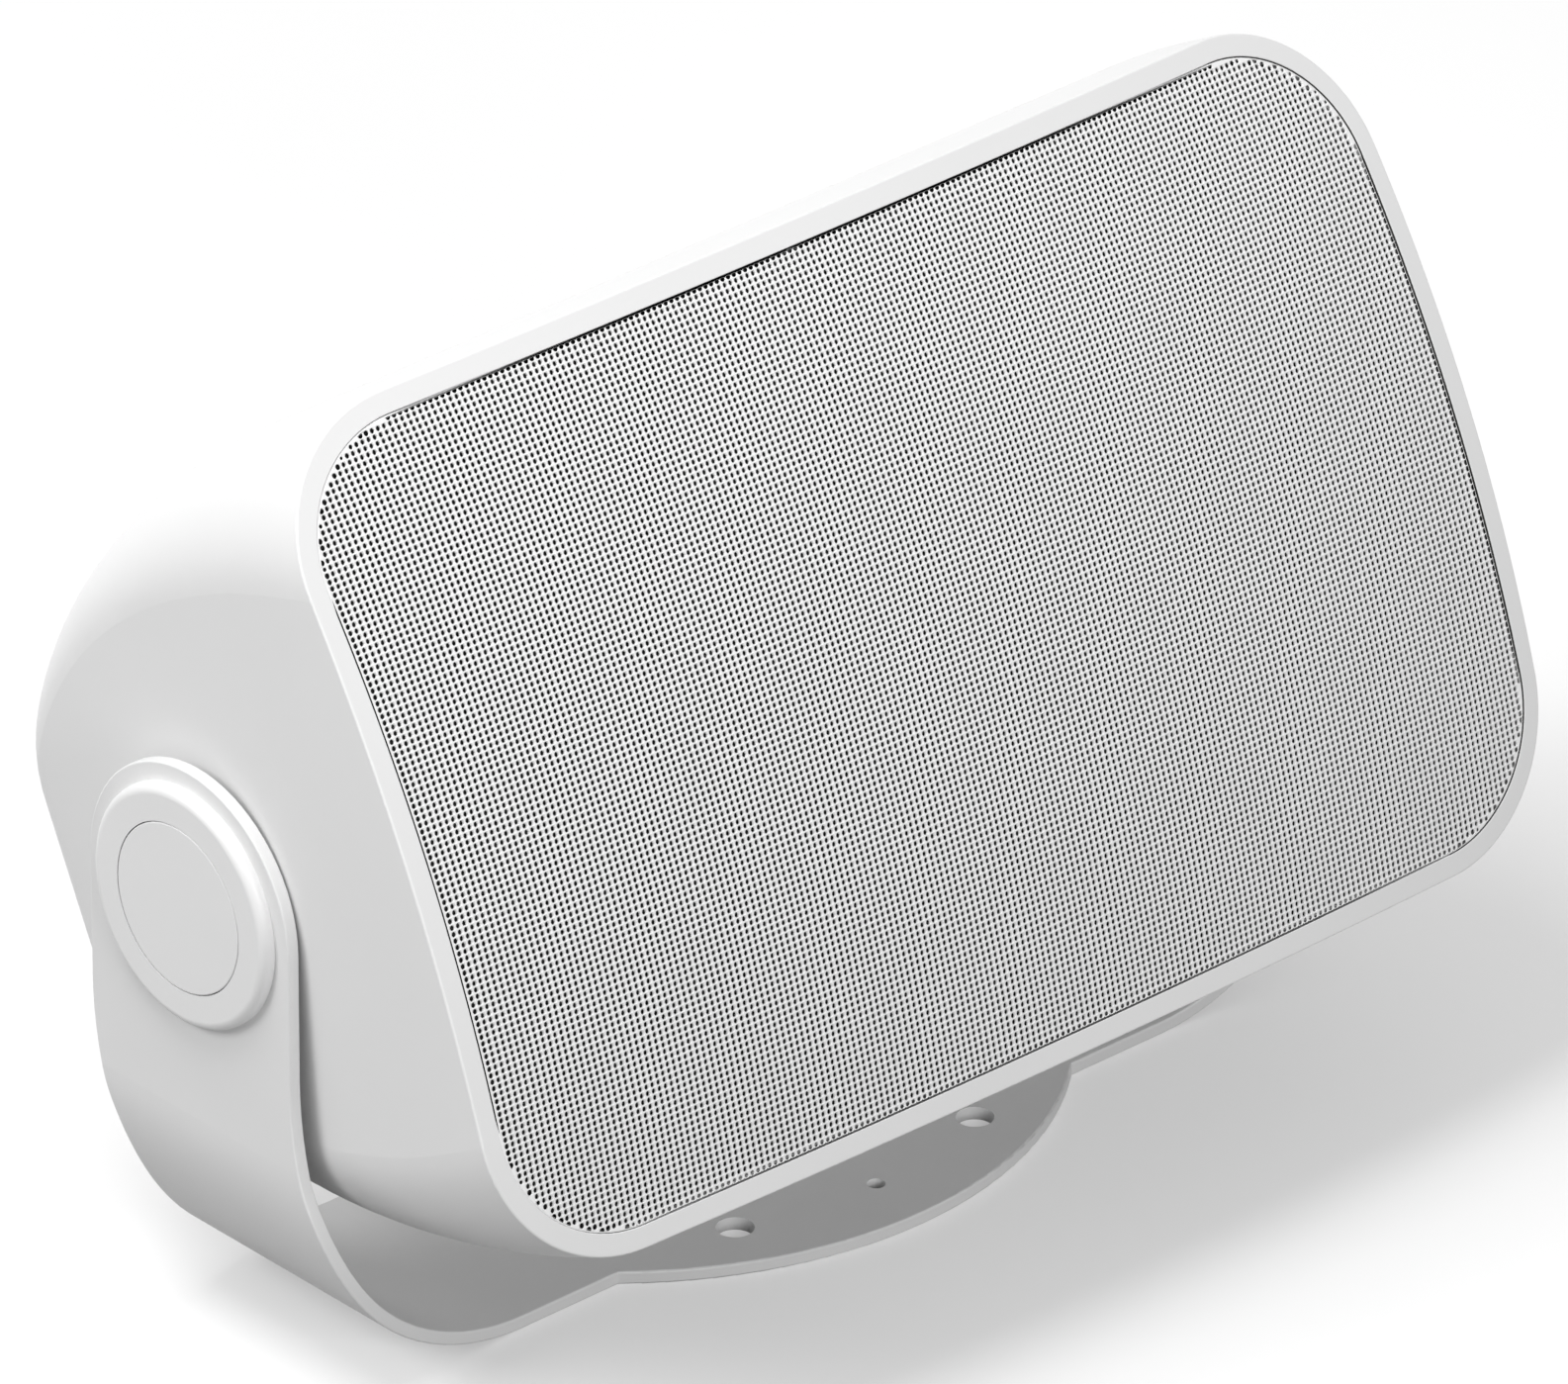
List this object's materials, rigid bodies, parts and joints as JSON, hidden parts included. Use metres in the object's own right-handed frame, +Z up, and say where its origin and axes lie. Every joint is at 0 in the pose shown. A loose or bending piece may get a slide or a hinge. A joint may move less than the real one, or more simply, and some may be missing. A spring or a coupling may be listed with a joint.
{
  "type": "outdoor patio speaker",
  "caption": "White two-way outdoor loudspeaker: tapered moulded enclosure with a domed metal grille, tilting between the arms of a folded strap bracket.",
  "frame": {"origin": "centre of the four anchor holes in the bracket's base, on its underside", "axes": "+X to the right for someone facing the grille, +Y to the back, +Z up from the base"},
  "size_m": [0.323, 0.1986, 0.2462],
  "materials": {
    "enclosure_plastic": "satin",
    "bracket_paint": "satin powder coat",
    "trim_plastic": "satin",
    "grille_paint": "satin powder coat",
    "scrim_cloth": "matt",
    "baffle_plastic": "matt",
    "gasket_rubber": "matt",
    "screw_steel": "plated",
    "basket_paint": "satin",
    "cone_plastic": "satin",
    "surround_rubber": "matt",
    "spider_cloth": "matt",
    "coil_copper": "lacquered",
    "motor_steel": "zinc plated",
    "magnet_ferrite": "matt",
    "dome_cloth": "coated",
    "board_laminate": "satin",
    "capacitor_film": "gloss",
    "resistor_ceramic": "matt",
    "terminal_plastic": "matt",
    "button_red": "gloss",
    "button_black": "gloss",
    "contact_brass": "polished",
    "washer_nylon": "matt",
    "lead_insulation": "matt"
  },
  "bodies": {
    "bracket": {"bracket": "bracket_paint", "pivot_ring_left": "trim_plastic", "pivot_ring_right": "trim_plastic", "pivot_cap_left": "trim_plastic", "pivot_cap_right": "trim_plastic"},
    "speaker": {"pivot_bolts": "screw_steel", "pivot_inserts": "contact_brass", "friction_washers": "washer_nylon", "enclosure": "enclosure_plastic", "baffle": "baffle_plastic", "baffle_gasket": "gasket_rubber", "baffle_screws": "screw_steel", "grille": "grille_paint", "grille_scrim": "scrim_cloth", "woofer_basket": "basket_paint", "woofer_gasket": "gasket_rubber", "woofer_screws": "screw_steel", "woofer_surround": "surround_rubber", "woofer_spider": "spider_cloth", "woofer_top_plate": "motor_steel", "woofer_magnet": "magnet_ferrite", "woofer_yoke": "motor_steel", "tweeter_faceplate": "baffle_plastic", "tweeter_screws": "screw_steel", "tweeter_dome": "dome_cloth", "tweeter_motor": "basket_paint", "crossover_board": "board_laminate", "crossover_screws": "screw_steel", "crossover_inductors": "coil_copper", "crossover_capacitors": "capacitor_film", "crossover_resistors": "resistor_ceramic", "terminal_gasket": "gasket_rubber", "terminal_block": "terminal_plastic", "terminal_screws": "screw_steel", "terminal_contacts": "contact_brass", "terminal_springs": "screw_steel", "input_leads": "lead_insulation", "woofer_leads": "lead_insulation", "tweeter_leads": "lead_insulation"},
    "woofer_cone": {"woofer_cone": "cone_plastic", "woofer_dust_cap": "cone_plastic", "voice_coil": "coil_copper"},
    "button_red": {"terminal_button_red": "button_red"},
    "button_black": {"terminal_button_black": "button_black"}
  },
  "joints": [
    {"name": "speaker_tilt", "type": "hinge", "parent": "bracket", "child": "speaker", "pos_m": [0, 0.0108, 0.1146], "axis": [1, 0, 0], "range_deg": [-64, 16]},
    {"name": "cone_stroke", "type": "slide", "parent": "speaker", "child": "woofer_cone", "axis": [0, -0.8988, 0.4384], "range_m": [-0.004, 0.004], "stiffness_N_per_m": 1200, "deforming": ["woofer_surround", "woofer_spider"]},
    {"name": "red_button_press", "type": "slide", "parent": "speaker", "child": "button_red", "axis": [0, -0.8988, 0.4384], "range_m": [0, 0.003], "stiffness_N_per_m": 400, "springref_m": -0.003, "deforming": ["terminal_springs"]},
    {"name": "black_button_press", "type": "slide", "parent": "speaker", "child": "button_black", "axis": [0, -0.8988, 0.4384], "range_m": [0, 0.003], "stiffness_N_per_m": 400, "springref_m": -0.003, "deforming": ["terminal_springs"]}
  ]
}
